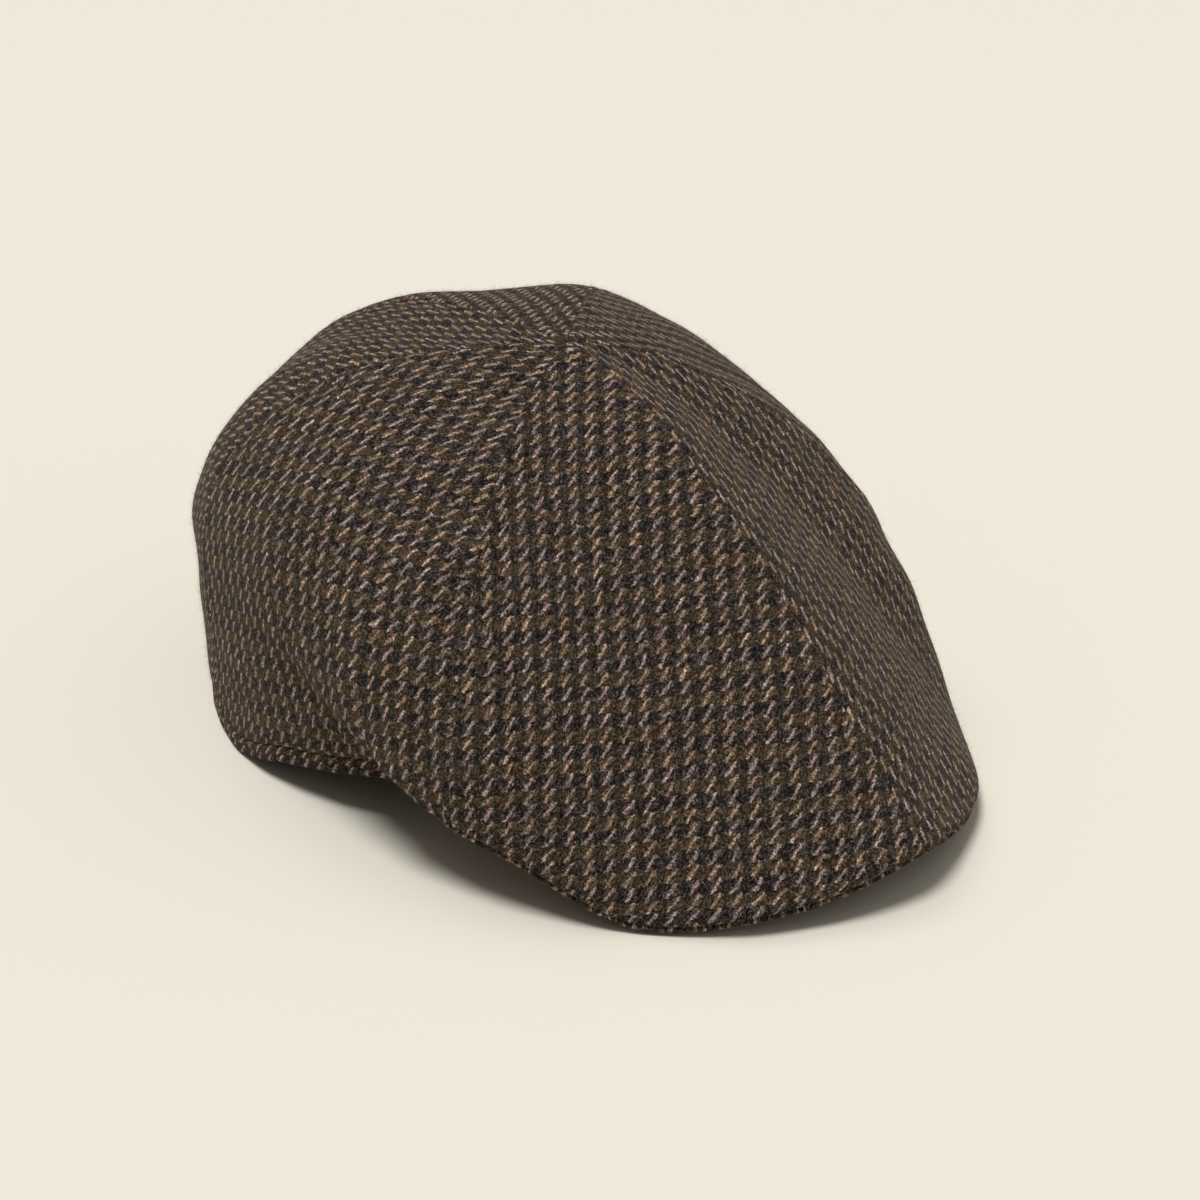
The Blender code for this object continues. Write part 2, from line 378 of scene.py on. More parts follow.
@dataclass(frozen=True)
class SeamShape:
    """Cross-section of a sewn seam: a fine crease between two low welts, with small puckers."""

    crease_depth: float = 0.00014
    crease_width: float = 0.00045
    welt_height: float = 0.00020
    welt_place: float = 0.0019
    welt_width: float = 0.0013
    pucker_depth: float = 0.00006
    pucker_length: float = 0.0085
    pucker_reach: float = 0.0050
    pucker_waves: Rows = ((0.6, 1.0, 0.0), (0.4, 1.73, 1.1))

    def at(self, distance: Array, along: Array) -> Array:
        """Height of the seam's relief.

        Args:
            distance: distance of each point from its nearest seam.
            along: how far down the gore each point is.

        Returns:
            The height above the plain cloth.
        """
        crease = -self.crease_depth * np.exp(-(distance / self.crease_width) ** 2)
        welt = self.welt_height * np.exp(-((distance - self.welt_place) / self.welt_width) ** 2)
        turn = 2 * math.pi * along / self.pucker_length
        pucker = sum(share * np.sin(turn * rate + phase)
                     for share, rate, phase in self.pucker_waves)
        return crease + welt + self.pucker_depth * pucker * np.exp(-distance / self.pucker_reach)


@dataclass(frozen=True)
class Grade:
    """Smooth change of one value into another: where it starts and ends, and what comes out."""

    low: float
    high: float
    to_low: float = 0.0
    to_high: float = 1.0


@dataclass(frozen=True)
class Clouds:
    """Noise: clouds a unit, their fineness and roughness, and where in the noise to start."""

    scale: float
    detail: float = 2.0
    roughness: float = 0.5
    offset: Triple | None = None


@dataclass(frozen=True)
class Tweed:
    """Houndstooth tweed: sizes in millimetres, grades of its effects, and linear colours."""

    # the check, the slope of its flecks and the fine twill
    across: float = 5.60
    along: float = 3.90
    slant: float = 0.68
    twill: float = 1.55
    twill_slope: float = 0.75
    # how the threads wander slowly, and how ragged they are
    drift_across: Clouds = Clouds(0.11)
    drift_along: Clouds = Clouds(0.11, offset=(37.0, 11.0, 5.0))
    drift_reach: float = 2.4
    ragged_across: Clouds = Clouds(0.9, 3.0, 0.62)
    ragged_along: Clouds = Clouds(1.1, 3.0, 0.62, (5.0, 71.0, 3.0))
    ragged_reach: tuple[float, float] = (1.4, 2.3)
    # strands of yarn, hairs that cross them and loose fibres
    yarn: Clouds = Clouds(1.0, 3.0, 0.65)
    strand_stretch: tuple[float, float] = (2.1, 0.62)
    hair_stretch: Triple = (2.4, 1.1, 0.8)
    hair_layer: float = 7.0
    fibres: Clouds = Clouds(1.6, 4.0, 0.78)
    # the flecks' sides, ends and strength
    fleck_side: Grade = Grade(0.28, 0.728, 1.0, 0.0)
    fleck_side_ragged: float = 1.9
    fleck_end: Grade = Grade(0.44, 0.62, 1.0, 0.30)
    fleck_end_ragged: float = 0.30
    fleck_luck: Grade = Grade(0.0, 1.0, 0.72, 1.0)
    # warm and cool rows by turns, with haze, hairs, rust and neps over them
    warm_row: Grade = Grade(-0.60, 0.90)
    row_ragged: float = 3.6
    haze_by_fleck: Grade = Grade(0.6, 2.9, 0.30, 0.07)
    haze_in_strand: Grade = Grade(0.48, 0.66)
    hair_cover: Grade = Grade(0.58, 0.67)
    hair_strength: float = 0.26
    rust: Clouds = Clouds(0.42, 1.0, offset=(19.0, 83.0, 29.0))
    rust_cover: Grade = Grade(0.70, 0.78, 0.0, 0.45)
    nep: Clouds = Clouds(0.85, 0.0, offset=(91.0, 47.0, 13.0))
    nep_cover: Grade = Grade(0.86, 0.89, 0.0, 0.6)
    # light and dark, and painted shade in the seam's crease; the seam's distance is in metres
    strand_shade: Grade = Grade(0.36, 0.64, 0.26, 1.78)
    fibre_shade: Grade = Grade(0.38, 0.62, 0.16, 1.92)
    twill_shade: Grade = Grade(-1.0, 1.0, 0.86, 1.12)
    drift_shade: Grade = Grade(-0.2, 0.2, 0.90, 1.10)
    # painted shade: the cloth is darker within 0.4 mm of a seam, in its crease
    seam_crease_painted_shade: Grade = Grade(0.00005, 0.00040, 0.78, 1.0)
    tone: float = 0.70
    # relief
    fleck_height: float = 0.22
    strand_height: float = 0.45
    fibre_height: float = 0.50
    twill_height: float = 0.040
    bump: float = 0.5
    # colours and surface
    navy: Triple = (0.0040, 0.0041, 0.0056)
    olive: Triple = (0.0350, 0.0248, 0.0132)
    cool_fleck: Triple = (0.520, 0.395, 0.340)
    warm_fleck: Triple = (0.540, 0.370, 0.250)
    rust_colour: Triple = (0.150, 0.052, 0.030)
    nep_colour: Triple = (0.52, 0.46, 0.40)
    roughness: Grade = Grade(0.3, 0.7, 0.86, 0.98)
    specular: float = 0.08
    sheen: float = 0.08
    sheen_roughness: float = 0.55
    sheen_tint: Triple = (0.80, 0.68, 0.58)


@dataclass(frozen=True)
class LooseWool:
    """Loose wool fibres, dark and light by turns from place to place."""

    places: Clouds = Clouds(900.0, 1.0)
    light_share: Grade = Grade(0.38, 0.62)
    dark: Triple = (0.045, 0.036, 0.030)
    light: Triple = (0.36, 0.282, 0.236)
    roughness: float = 0.85
    specular: float = 0.2


@dataclass(frozen=True)
class PaleFloor:
    """Pale matt studio floor."""

    colour: Triple = (0.743, 0.717, 0.626)
    roughness: float = 0.9
    specular: float = 0.1


@dataclass
class NodeBench:
    """Short ways to place nodes in one node tree."""

    tree: bpy.types.NodeTree

    def feed(self, node: bpy.types.Node, values: dict[str | int, object]) -> None:
        """Link sockets into a node's inputs, or set their plain values.

        Args:
            node: the node that is fed.
            values: a socket or a plain value for each input, by name or number.
        """
        for label, value in values.items():
            if isinstance(value, Socket):
                self.tree.links.new(value, node.inputs[label])
            else:
                node.inputs[label].default_value = value

    def node(self, kind: str, values: dict[str | int, object],
             **settings: object) -> bpy.types.Node:
        """Place a node with its options and with what feeds it.

        Args:
            kind: the node's type.
            values: a socket or a plain value for each input, by name or number.
            settings: the node's own options.

        Returns:
            The node.
        """
        node = self.tree.nodes.new(f"ShaderNode{kind}")
        for option, setting in settings.items():
            setattr(node, option, setting)
        self.feed(node, values)
        return node

    def math(self, operation: str, *values: object) -> Socket:
        """Place a Math node and return its output."""
        return self.node("Math", dict(enumerate(values)), operation=operation).outputs[0]

    def plus(self, first: object, second: object) -> Socket:
        """Add two values."""
        return self.math("ADD", first, second)

    def minus(self, first: object, second: object) -> Socket:
        """Take one value from another."""
        return self.math("SUBTRACT", first, second)

    def times(self, first: object, second: object) -> Socket:
        """Multiply two values."""
        return self.math("MULTIPLY", first, second)

    def centred(self, value: object) -> Socket:
        """Move a value that is 0.5 on average so that its mean is nought."""
        return self.minus(value, 0.5)

    def ramp(self, value: object, grade: Grade) -> Socket:
        """Place a smooth Map Range of one grade and return its output."""
        limits = {"From Min": grade.low, "From Max": grade.high,
                  "To Min": grade.to_low, "To Max": grade.to_high}
        return self.node("MapRange", {"Value": value, **limits},
                         interpolation_type="SMOOTHSTEP").outputs["Result"]

    def mix(self, factor: object, first: object, second: object, blend: str = "MIX") -> Socket:
        """Mix two colours."""
        return self.node("Mix", {0: factor, 6: first, 7: second}, data_type="RGBA",
                         blend_type=blend).outputs[2]

    def noise(self, place: object, clouds: Clouds) -> Socket:
        """Place a 3-D noise and return its value, about 0.5 on average.

        Args:
            place: where the noise is read.
            clouds: what noise it is.

        Returns:
            The noise's socket.
        """
        if clouds.offset:
            moved = self.node("VectorMath", {0: place, 1: clouds.offset}, operation="ADD")
            place = moved.outputs[0]
        return self.node("TexNoise", {"Vector": place, "Scale": clouds.scale,
                                      "Detail": clouds.detail,
                                      "Roughness": clouds.roughness}).outputs["Fac"]

    def combine(self, x: object, y: object, z: object = 0.0) -> Socket:
        """Make a vector of three values."""
        return self.node("CombineXYZ", {0: x, 1: y, 2: z}).outputs[0]

    def chance(self, vector: object) -> Socket:
        """Give one random value for each cell."""
        return self.node("TexWhiteNoise", {"Vector": vector},
                         noise_dimensions="2D").outputs["Value"]


def opaque(colour: Triple) -> tuple[float, float, float, float]:
    """Add a full alpha to a colour."""
    return (*colour, 1.0)


@dataclass
class Yarn:
    """Sockets of the threads at each place: where they run in millimetres, and what varies."""

    across: Socket
    along: Socket
    drift: Socket
    strands: Socket
    hairs: Socket
    fibres: Socket
    twill: Socket


@dataclass
class WeaveGroup:
    """Shared node group that turns flat cloth coordinates into the houndstooth weave."""

    cloth: Tweed = field(default_factory=Tweed)
    name: str = "houndstooth_weave"

    def tree(self) -> bpy.types.NodeTree:
        """Return the group, built the first time."""
        found = bpy.data.node_groups.get(self.name)
        return found or self.build()

    def build(self) -> bpy.types.NodeTree:
        """Build the group's sockets and nodes.

        Returns:
            The group.
        """
        group = bpy.data.node_groups.new(self.name, "ShaderNodeTree")
        sockets = (("Cloth", "INPUT", "Vector"), ("Seam", "INPUT", "Float"),
                   ("Tone", "INPUT", "Float"), ("Navy", "INPUT", "Color"),
                   ("Olive", "INPUT", "Color"), ("Cool Fleck", "INPUT", "Color"),
                   ("Warm Fleck", "INPUT", "Color"), ("Color", "OUTPUT", "Color"),
                   ("Height", "OUTPUT", "Float"), ("Roughness", "OUTPUT", "Float"))
        for label, side, kind in sockets:
            group.interface.new_socket(label, in_out=side, socket_type=f"NodeSocket{kind}")
        bench = NodeBench(group)
        given = group.nodes.new("NodeGroupInput").outputs
        result = group.nodes.new("NodeGroupOutput")
        bench.feed(result, self.weave(bench, given))
        return group

    def weave(self, bench: NodeBench, given: bpy.types.NodeOutputs) -> dict[str, object]:
        """Lay out the check, the flecks, the twill and the fibres.

        Args:
            bench: the group's bench.
            given: the group's input sockets.

        Returns:
            Sockets of the colour, the height in millimetres and the roughness, by name.
        """
        c = self.cloth
        flat = bench.node("VectorMath", {0: given["Cloth"], "Scale": 1 / MILLIMETRE},
                          operation="SCALE").outputs[0]
        yarn = self.spin(bench, flat)
        column = bench.math("DIVIDE", yarn.across, c.across)
        row = bench.math("DIVIDE", yarn.along, c.along)
        fleck, off_centre = self.flecks(bench, yarn, column, row)
        colour = self.dye(bench, given, yarn, row, fleck, off_centre)
        rust = bench.ramp(bench.noise(flat, c.rust), c.rust_cover)
        colour = bench.mix(rust, colour, opaque(c.rust_colour))
        shade = bench.times(bench.ramp(yarn.strands, c.strand_shade),
                            bench.ramp(yarn.fibres, c.fibre_shade))
        shade = bench.times(shade, bench.ramp(yarn.twill, c.twill_shade))
        shade = bench.times(shade, bench.ramp(yarn.drift, c.drift_shade))
        shade = bench.times(shade, given["Tone"])
        # painted shade: darken the cloth close to each seam, where its crease is
        shade = bench.times(shade, bench.ramp(given["Seam"], c.seam_crease_painted_shade))
        colour = bench.mix(1.0, colour, bench.combine(shade, shade, shade), "MULTIPLY")
        nep = bench.ramp(bench.noise(flat, c.nep), c.nep_cover)
        colour = bench.mix(nep, colour, opaque(c.nep_colour))
        height = bench.plus(bench.times(fleck, c.fleck_height),
                            bench.times(yarn.strands, c.strand_height))
        height = bench.plus(height, bench.times(yarn.fibres, c.fibre_height))
        height = bench.plus(height, bench.times(yarn.twill, c.twill_height))
        return {"Color": colour, "Height": height,
                "Roughness": bench.ramp(yarn.fibres, c.roughness)}

    def spin(self, bench: NodeBench, flat: Socket) -> Yarn:
        """Place the threads, with their wander, strands, hairs, fibres and twill.

        Args:
            bench: the group's bench.
            flat: cloth coordinates in millimetres.

        Returns:
            The threads' sockets.
        """
        c = self.cloth
        parts = bench.node("SeparateXYZ", {0: flat}).outputs
        slow = [bench.centred(bench.noise(flat, clouds))
                for clouds in (c.drift_across, c.drift_along)]
        places = []
        for place, drift, ragged, reach in zip(
                parts, slow, (c.ragged_across, c.ragged_along), c.ragged_reach):
            place = bench.plus(place, bench.times(drift, c.drift_reach))
            ragged_by = bench.centred(bench.noise(flat, ragged))
            places.append(bench.plus(place, bench.times(ragged_by, reach)))
        across, along = places
        sideways, lengthwise = c.strand_stretch
        slanted = bench.plus(across, bench.times(along, c.slant))
        strands = bench.noise(bench.combine(bench.times(slanted, sideways),
                                            bench.times(along, lengthwise)), c.yarn)
        hair_along, hair_across, hair_length = c.hair_stretch
        crossing = bench.minus(bench.times(along, hair_along), bench.times(across, hair_across))
        hairs = bench.noise(bench.combine(crossing, bench.times(across, hair_length),
                                          c.hair_layer), c.yarn)
        diagonal = bench.minus(along, bench.times(across, c.twill_slope))
        twill = bench.math("SINE", bench.times(diagonal, 2 * math.pi / c.twill))
        return Yarn(across, along, slow[0], strands, hairs, bench.noise(flat, c.fibres), twill)

    def flecks(self, bench: NodeBench, yarn: Yarn, column: Socket,
               row: Socket) -> tuple[Socket, Socket]:
        """Place broken columns of slanted strokes, ragged and uneven in strength.

        Args:
            bench: the group's bench.
            yarn: the threads.
            column: which column of the check, with its fraction.
            row: which row of the check, with its fraction.

        Returns:
            Sockets of the flecks' cover and of the distance from their middle line.
        """
        c = self.cloth
        x = bench.times(bench.centred(bench.math("FRACT", column)), c.across)
        end = bench.centred(bench.math("FRACT", row))
        slanted = bench.plus(x, bench.times(bench.times(end, c.along), c.slant))
        off_centre = bench.math("ABSOLUTE", slanted)
        side = bench.plus(off_centre,
                          bench.times(bench.centred(yarn.strands), c.fleck_side_ragged))
        ends = bench.plus(bench.math("ABSOLUTE", end),
                          bench.times(bench.centred(yarn.fibres), c.fleck_end_ragged))
        fleck = bench.times(bench.ramp(side, c.fleck_side), bench.ramp(ends, c.fleck_end))
        cell = bench.combine(bench.math("FLOOR", column), bench.math("FLOOR", row))
        return bench.times(fleck, bench.ramp(bench.chance(cell), c.fleck_luck)), off_centre

    def dye(self, bench: NodeBench, given: bpy.types.NodeOutputs, yarn: Yarn, row: Socket,
            fleck: Socket, off_centre: Socket) -> Socket:
        """Colour the rows by turns: olive with warm flecks, and navy with cooler ones.

        Args:
            bench: the group's bench.
            given: the group's input sockets.
            yarn: the threads.
            row: which row of the check, with its fraction.
            fleck: the flecks' cover.
            off_centre: distance from the flecks' middle line.

        Returns:
            The colour's socket.
        """
        c = self.cloth
        turn = bench.math("SINE", bench.times(row, math.pi))
        warm = bench.ramp(bench.plus(turn, bench.times(bench.centred(yarn.fibres), c.row_ragged)),
                          c.warm_row)
        ground = bench.mix(warm, given["Navy"], given["Olive"])
        thread = bench.mix(warm, given["Cool Fleck"], given["Warm Fleck"])
        haze = bench.times(bench.ramp(off_centre, c.haze_by_fleck),
                           bench.ramp(yarn.strands, c.haze_in_strand))
        hair = bench.times(bench.ramp(yarn.hairs, c.hair_cover), c.hair_strength)
        cover = bench.math("MAXIMUM", fleck, bench.math("MAXIMUM", haze, hair))
        return bench.mix(cover, ground, thread)


@dataclass
class Dresser:
    """Makes the cap's materials."""

    cloth: Tweed = field(default_factory=Tweed)
    wool: LooseWool = field(default_factory=LooseWool)
    pale_floor: PaleFloor = field(default_factory=PaleFloor)

    @staticmethod
    def blank(name: str) -> tuple[bpy.types.Material, NodeBench, bpy.types.Node]:
        """Start a material, and return it with its bench and its shader.

        Args:
            name: the material's name.

        Returns:
            The material, its bench and its shader.
        """
        material = bpy.data.materials.new(name)
        material.use_nodes = True
        tree = material.node_tree
        return material, NodeBench(tree), tree.nodes["Principled BSDF"]

    def tweed(self, name: str, tone: float = 1.0) -> bpy.types.Material:
        """Make a tweed material that reads the piece's own flat cut.

        Args:
            name: the material's name.
            tone: lightness beside the plain cloth.

        Returns:
            The material.
        """
        c = self.cloth
        material, bench, shader = self.blank(name)
        flat = bench.node("UVMap", {}, uv_map=WEAVE_MAP)
        seam = bench.node("Attribute", {}, attribute_name=SEAM_NAME)
        dyes = {"Navy": opaque(c.navy), "Olive": opaque(c.olive),
                "Cool Fleck": opaque(c.cool_fleck), "Warm Fleck": opaque(c.warm_fleck)}
        weave = bench.node("Group", {}, node_tree=WeaveGroup(c).tree())
        bench.feed(weave, {"Cloth": flat.outputs["UV"], "Seam": seam.outputs["Fac"],
                           "Tone": tone * c.tone, **dyes})
        relief = bench.node("Bump", {"Strength": c.bump, "Distance": MILLIMETRE,
                                     "Height": weave.outputs["Height"]})
        bench.feed(shader, {"Base Color": weave.outputs["Color"],
                            "Roughness": weave.outputs["Roughness"],
                            "Normal": relief.outputs["Normal"],
                            "Specular IOR Level": c.specular, "Sheen Weight": c.sheen,
                            "Sheen Roughness": c.sheen_roughness,
                            "Sheen Tint": opaque(c.sheen_tint)})
        return material

    def nap(self) -> bpy.types.Material:
        """Make the loose wool fibres' material, which varies from place to place.

        Returns:
            The material.
        """
        w = self.wool
        material, bench, shader = self.blank("loose_wool")
        place = bench.node("TexCoord", {}).outputs["Object"]
        light = bench.ramp(bench.noise(place, w.places), w.light_share)
        bench.feed(shader, {"Base Color": bench.mix(light, opaque(w.dark), opaque(w.light)),
                            "Roughness": w.roughness, "Specular IOR Level": w.specular})
        return material

    def floor(self) -> bpy.types.Material:
        """Make the pale matt studio floor's material.

        Returns:
            The material.
        """
        f = self.pale_floor
        material, bench, shader = self.blank("pale_floor")
        bench.feed(shader, {"Base Color": opaque(f.colour), "Roughness": f.roughness,
                            "Specular IOR Level": f.specular})
        return material


def grid_sheet(points: Array, flat: Array, values: dict[str, Array]) -> bmesh.types.BMesh:
    """Lay a grid of faces on a table of points.

    Args:
        points: rows by columns of 3-D points.
        flat: rows by columns of flat cloth coordinates in metres.
        values: named tables of one number a point, kept on the vertices.

    Returns:
        The open sheet.
    """
    rows, columns = points.shape[:2]
    sheet = bmesh.new()
    bmesh.ops.create_grid(sheet, x_segments=columns - 1, y_segments=rows - 1, size=1.0)
    layers = {name: sheet.verts.layers.float.new(name) for name in values}
    cut = sheet.loops.layers.uv.new(WEAVE_MAP)
    places: list[tuple[int, int]] = []
    for vert in sheet.verts:
        row = round((vert.co.y + 1) / 2 * (rows - 1))
        column = round((vert.co.x + 1) / 2 * (columns - 1))
        places.append((row, column))
        vert.co = points[row, column]
        for name, layer in layers.items():
            vert[layer] = values[name][row, column]
    sheet.verts.index_update()
    for face in sheet.faces:
        for loop in face.loops:
            loop[cut].uv = flat[places[loop.vert.index]]
    return sheet


def finish_mesh(name: str, mesh_data: bmesh.types.BMesh,
                material: bpy.types.Material) -> bpy.types.Object:
    """Turn a bmesh into a smooth object with one material.

    Args:
        name: the object's name.
        mesh_data: the shape, which is freed.
        material: what it is made of.

    Returns:
        The object.
    """
    mesh = bpy.data.meshes.new(name)
    mesh_data.to_mesh(mesh)
    mesh_data.free()
    mesh.materials.append(material)
    mesh.shade_smooth()
    piece = bpy.data.objects.new(name, mesh)
    bpy.context.scene.collection.objects.link(piece)
    return piece


def surface_normals(points: Array) -> Array:
    """Unit normals of a grid of points, on the side that faces away from the cap's middle.

    Args:
        points: rows by columns of points.

    Returns:
        The normals, rows by columns.
    """
    down, around = np.gradient(points, axis=0), np.gradient(points, axis=1)
    normal = unit(np.cross(down, around))
    return normal * np.sign(((points - INSIDE) * normal).sum(-1).mean())


def refine(table: Array, step: int) -> Array:
    """Fill in the rows of a table that holds every few rows of a finer one.

    Args:
        table: rows by columns of flat places.
        step: how many fine rows one row stands for.

    Returns:
        The finer table, straight between the rows that were given.
    """
    fine = np.arange((table.shape[0] - 1) * step + 1)
    lines = [[np.interp(fine, fine[::step], table[:, column, axis])
              for column in range(table.shape[1])] for axis in range(table.shape[2])]
    return np.transpose(lines, (2, 1, 0))


class Hand(Enum):
    """The wearer's right and left, as a side of the mirror plane."""

    RIGHT = -1
    LEFT = 1


@dataclass
class Gore:
    """One cloth gore, from the hub down to its lower end."""

    form: CapForm
    name: str
    hand: Hand
    start: float
    end: float
    columns: int = 88
    rows: int = 150
    seam_crowding: float = 0.72
    edge_crowding: float = 3.5
    edge_reach: float = 0.0035
    line_points: int = 1200
    roundings: int = 10
    rounding_reach: float = 0.6
    rounding_pull: float = 0.8
    swell_ends: float = 1.6
    swell_fade: float = 0.4
    hub_share: float = 0.004
    grain: tuple[float, float] = (0.0, 0.0)
    cut_steps: tuple[int, int] = (5, 4)
    cut_rounds: int = 900
    cut_push: float = 0.09
    cut_springs: tuple[tuple[int, int], ...] = ((0, 1), (1, 0), (1, 1), (1, -1), (2, 0), (0, 2))
    swell: SoftSwell = field(default_factory=SoftSwell)
    seam: SeamShape = field(default_factory=SeamShape)
    points: Array = field(init=False)
    normals: Array = field(init=False)
    cut: Array = field(init=False)
    flat: Array = field(init=False)
    seam_distance: Array = field(init=False)
    area: float = field(init=False)

    def __post_init__(self) -> None:
        """Lay out the gore's points, its flat cut and its seams."""
        t = np.linspace(0, 1, self.columns + 1)
        across = t - self.seam_crowding * np.sin(2 * math.pi * t) / (2 * math.pi)
        low, high = self.spread()
        angles = low + (high - low) * across
        ways = self.row_ways((low + high) / 2)
        plain = self.form.surface(*np.broadcast_arrays(angles[None, :], ways[:, None]))
        down = lengths_along(plain, 0)
        width = lengths_along(plain, 1)
        self.seam_distance = np.minimum(width, width[:, -1:] - width)
        rounded = self.round_edge(plain, ways, down)
        self.normals = surface_normals(rounded)
        swell = self.swell.at(rounded) * self.keep_lower_end(ways)
        relief = self.seam.at(self.seam_distance, down) + swell
        self.points = rounded + self.normals * relief[..., None]
        self.cut = self.cut_cloth(plain)
        self.flat = self.lay_on_grain(self.cut)

    def spread(self) -> tuple[float, float]:
        """The gore's seams as signed angles, in rising order."""
        ends = (self.hand.value * self.start, self.hand.value * self.end)
        return min(ends), max(ends)

    def row_ways(self, middle: float) -> Array:
        """Spread the rows evenly down the gore, and closer together about the outline.

        Args:
            middle: angle of the gore's middle line.

        Returns:
            How far down each row is, from the hub at 0 to the lower end at 2.
        """
        ways = np.linspace(self.hub_share, 2.0, self.line_points)
        line = self.form.surface(np.full_like(ways, middle), ways)
        down = lengths_along(line[:, None, :], 0)[:, 0]
        edge = np.interp(1.0, ways, down)
        crowd = 1 + self.edge_crowding * np.exp(-((down - edge) / self.edge_reach) ** 2)
        count = np.concatenate([[0], np.cumsum((crowd[1:] + crowd[:-1]) / 2 * np.diff(down))])
        return np.interp(np.linspace(0, count[-1], self.rows + 1), count, ways)

    def round_edge(self, points: Array, ways: Array, down: Array) -> Array:
        """Round the cloth over where it turns down at the outline.

        Args:
            points: the gore's points.
            ways: how far down each row is.
            down: distance of each point from the hub.

        Returns:
            The points, rounded.
        """
        edge = np.array([np.interp(1.0, ways, column) for column in down.T])
        share = np.exp(-((down - edge) / (self.edge_reach * self.rounding_reach)) ** 2)[..., None]
        for _ in range(self.roundings):
            middle = (points[:-2] + points[2:]) / 2
            points = points.copy()
            points[1:-1] += (middle - points[1:-1]) * share[1:-1] * self.rounding_pull
        return points

    def keep_lower_end(self, ways: Array) -> Array:
        """Fade the swell out where the gore is held at its lower end."""
        return (1 - smooth_step((ways - self.swell_ends) / self.swell_fade))[:, None]

    def cut_cloth(self, points: Array) -> Array:
        """Flatten the gore as a tailor's pattern, with springs between its points.

        Args:
            points: the fine grid of points, of which every few rows and columns are used.

        Returns:
            Flat coordinates in metres, rows by columns.
        """
        row_step, column_step = self.cut_steps
        few = points[::row_step, ::column_step]
        rows, columns = few.shape[0] - 1, few.shape[1] - 1
        middle = columns // 2
        width = lengths_along(few, 1)
        down = lengths_along(few, 0)[:, middle]
        down = np.broadcast_to(down[:, None], width.shape)
        flat = np.stack([width - width[:, middle:middle + 1], down], -1)
        springs = []
        for down_by, across_by in self.cut_springs:
            back, ahead = max(-across_by, 0), max(across_by, 0)
            first = (slice(0, rows + 1 - down_by), slice(back, columns + 1 - ahead))
            second = (slice(down_by, rows + 1), slice(ahead, columns + 1 - back))
            rest = np.linalg.norm(few[second] - few[first], axis=-1)
            springs.append((first, second, rest))
        for _ in range(self.cut_rounds):
            push = np.zeros_like(flat)
            for first, second, rest in springs:
                reach = flat[second] - flat[first]
                length = np.maximum(np.linalg.norm(reach, axis=-1), TINY)
                pull = reach * ((length - rest) / length)[..., None]
                push[first] += pull
                push[second] -= pull
            flat = flat + self.cut_push * push
            flat[:, middle, 0] = 0.0
        return refine(refine(flat, row_step).swapaxes(0, 1), column_step).swapaxes(0, 1)

    def lay_on_grain(self, flat: Array) -> Array:
        """Turn the flat cut to where the cloth's rows and columns run.

        Args:
            flat: flat places, straight with the gore.

        Returns:
            Flat places on the cloth's own grain.
        """
        rows, columns = (math.radians(turn) * -self.hand.value for turn in self.grain)
        axes = np.array([[math.cos(rows), -math.sin(columns)], [math.sin(rows), math.cos(columns)]])
        return flat @ np.linalg.inv(axes).T

    def build(self, dresser: Dresser) -> bpy.types.Object:
        """Make the gore's sheet of cloth with its wall.

        Args:
            dresser: makes the material.

        Returns:
            The piece.
        """
        sheet = grid_sheet(self.points, self.flat, {SEAM_NAME: self.seam_distance})
        bmesh.ops.recalc_face_normals(sheet, faces=sheet.faces)
        sheet.faces.ensure_lookup_table()
        probe = sheet.faces[len(sheet.faces) // 2]
        if probe.normal.dot(probe.calc_center_median() - Vector(INSIDE)) < 0:
            bmesh.ops.reverse_faces(sheet, faces=sheet.faces)
        self.area = sum(face.calc_area() for face in sheet.faces)
        piece = finish_mesh(f"{self.name}_cloth", sheet, dresser.tweed(f"{self.name}_tweed"))
        wall = piece.modifiers.new("wall", "SOLIDIFY")
        wall.thickness = self.form.cloth
        wall.offset = -1.0
        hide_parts(self.name)
        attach(piece, BODY)
        return piece


